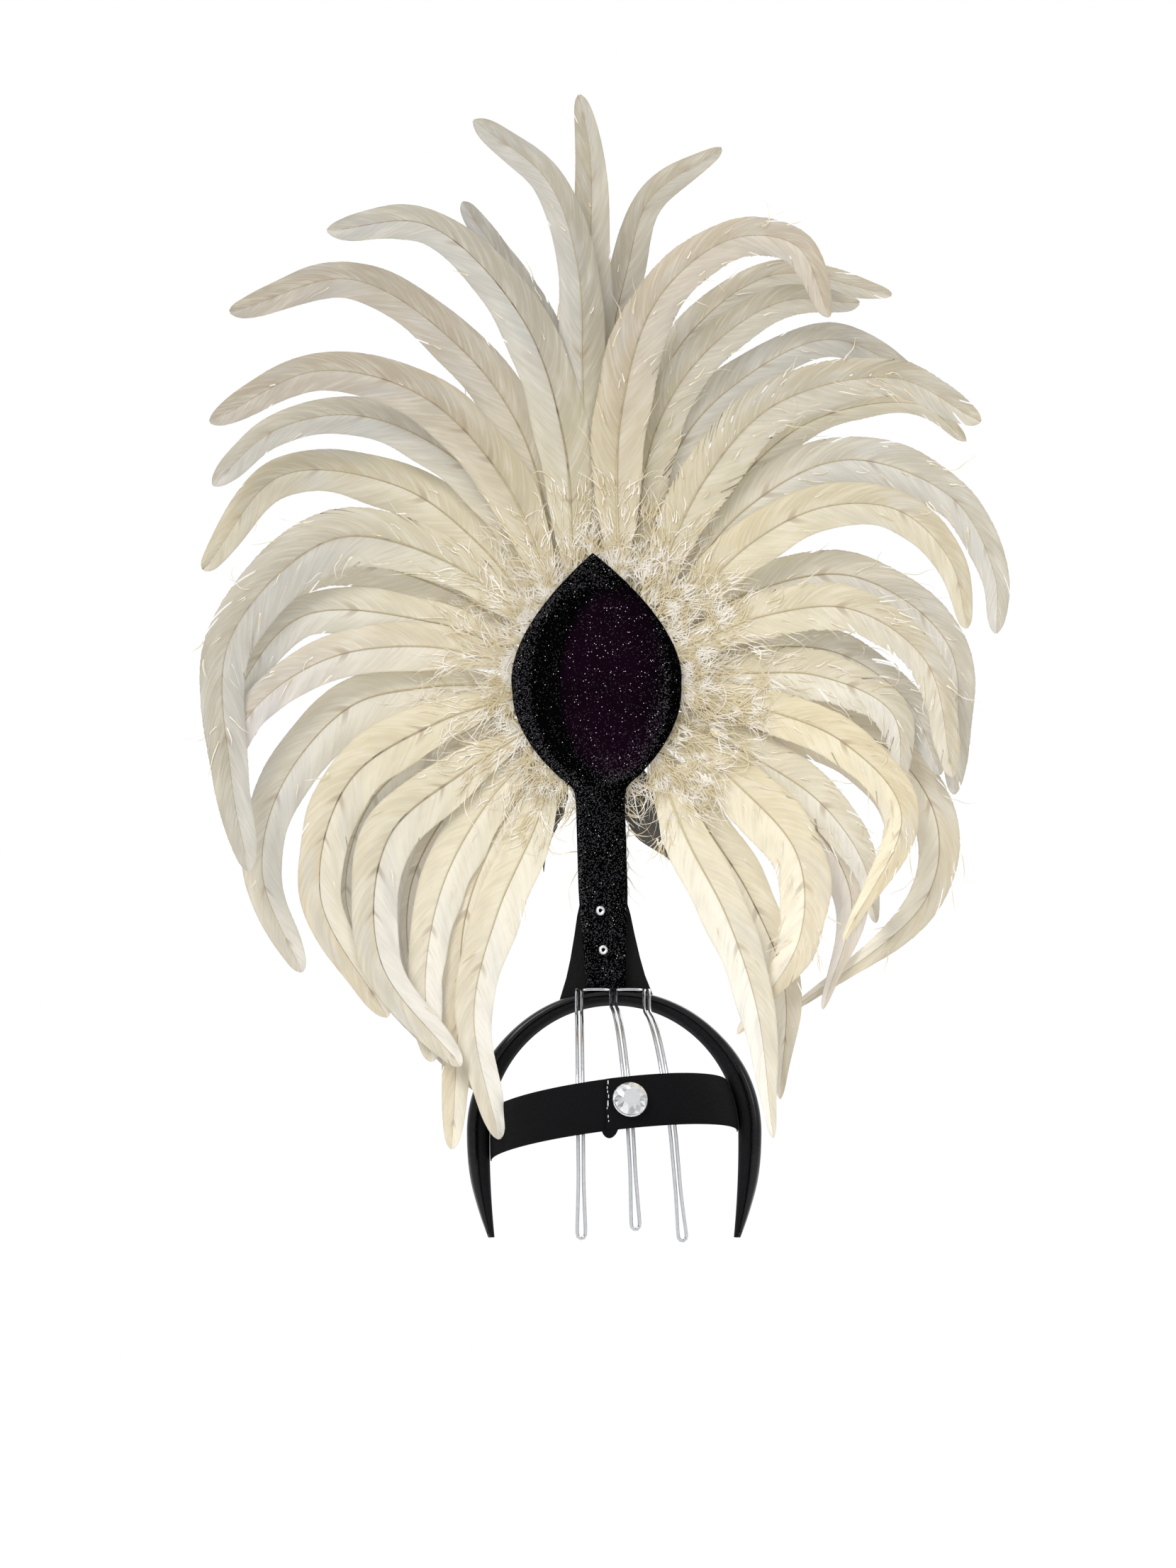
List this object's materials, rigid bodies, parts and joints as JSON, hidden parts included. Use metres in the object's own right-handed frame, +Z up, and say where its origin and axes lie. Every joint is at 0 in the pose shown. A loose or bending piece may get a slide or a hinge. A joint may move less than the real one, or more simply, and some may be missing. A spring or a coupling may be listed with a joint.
{
  "type": "feathered headdress",
  "caption": "Costume headdress: a padded headband arch carries a glitter panel with a fan of long cream tail feathers, gripped by an elastic strap and a bent wire.",
  "frame": {"origin": "crown seat: the highest point of the headband's inner face, where it sits on the top of the head", "axes": "+X the wearer's right, +Y the way the wearer faces, +Z up the feather fan"},
  "size_m": [0.498, 0.1212, 0.7022],
  "materials": {
    "shell": "glossy black covering",
    "padding": "matte black padded cloth",
    "plate": "matte black",
    "glitter_fabric": "black cloth with fine silver glitter",
    "elastic": "woven black elastic",
    "rivet": "bright nickel",
    "wire": "bright drawn wire",
    "setting": "silver backing",
    "stone": "polished facets",
    "feather": "natural cream feather",
    "dark_feather": "dark grey feather"
  },
  "bodies": {
    "root": {"headband_shell": "shell", "headband_padding": "padding", "stem_base": "plate", "panel_core": "plate", "back_panel": "glitter_fabric", "front_plate": "plate", "rivet_upper": "rivet", "rivet_lower": "rivet", "strap_left": "elastic", "strap_right": "elastic", "stone_setting": "setting", "rhinestone": "stone", "wire_prongs": "wire", "left_feather_01": "feather", "left_feather_02": "feather", "left_feather_03": "feather", "left_feather_04": "feather", "left_feather_05": "feather", "left_feather_06": "feather", "left_feather_07": "feather", "left_feather_08": "feather", "left_feather_09": "feather", "left_feather_10": "feather", "left_feather_11": "feather", "left_feather_12": "feather", "left_feather_13": "feather", "left_feather_14": "feather", "left_feather_15": "feather", "left_feather_16": "feather", "left_feather_17": "feather", "left_feather_18": "feather", "left_feather_19": "feather", "left_feather_20": "feather", "left_feather_21": "feather", "left_feather_22": "feather", "left_feather_23": "feather", "right_feather_01": "feather", "right_feather_02": "feather", "right_feather_03": "feather", "right_feather_04": "feather", "right_feather_05": "feather", "right_feather_06": "feather", "right_feather_07": "feather", "right_feather_08": "feather", "right_feather_09": "feather", "right_feather_10": "feather", "right_feather_11": "feather", "right_feather_12": "feather", "right_feather_13": "feather", "right_feather_14": "feather", "right_feather_15": "feather", "right_feather_16": "feather", "right_feather_17": "feather", "right_feather_18": "feather", "right_feather_19": "feather", "right_feather_20": "feather", "right_feather_21": "feather", "dark_feather_left": "dark_feather", "dark_feather_right": "dark_feather"}
  },
  "joints": []
}
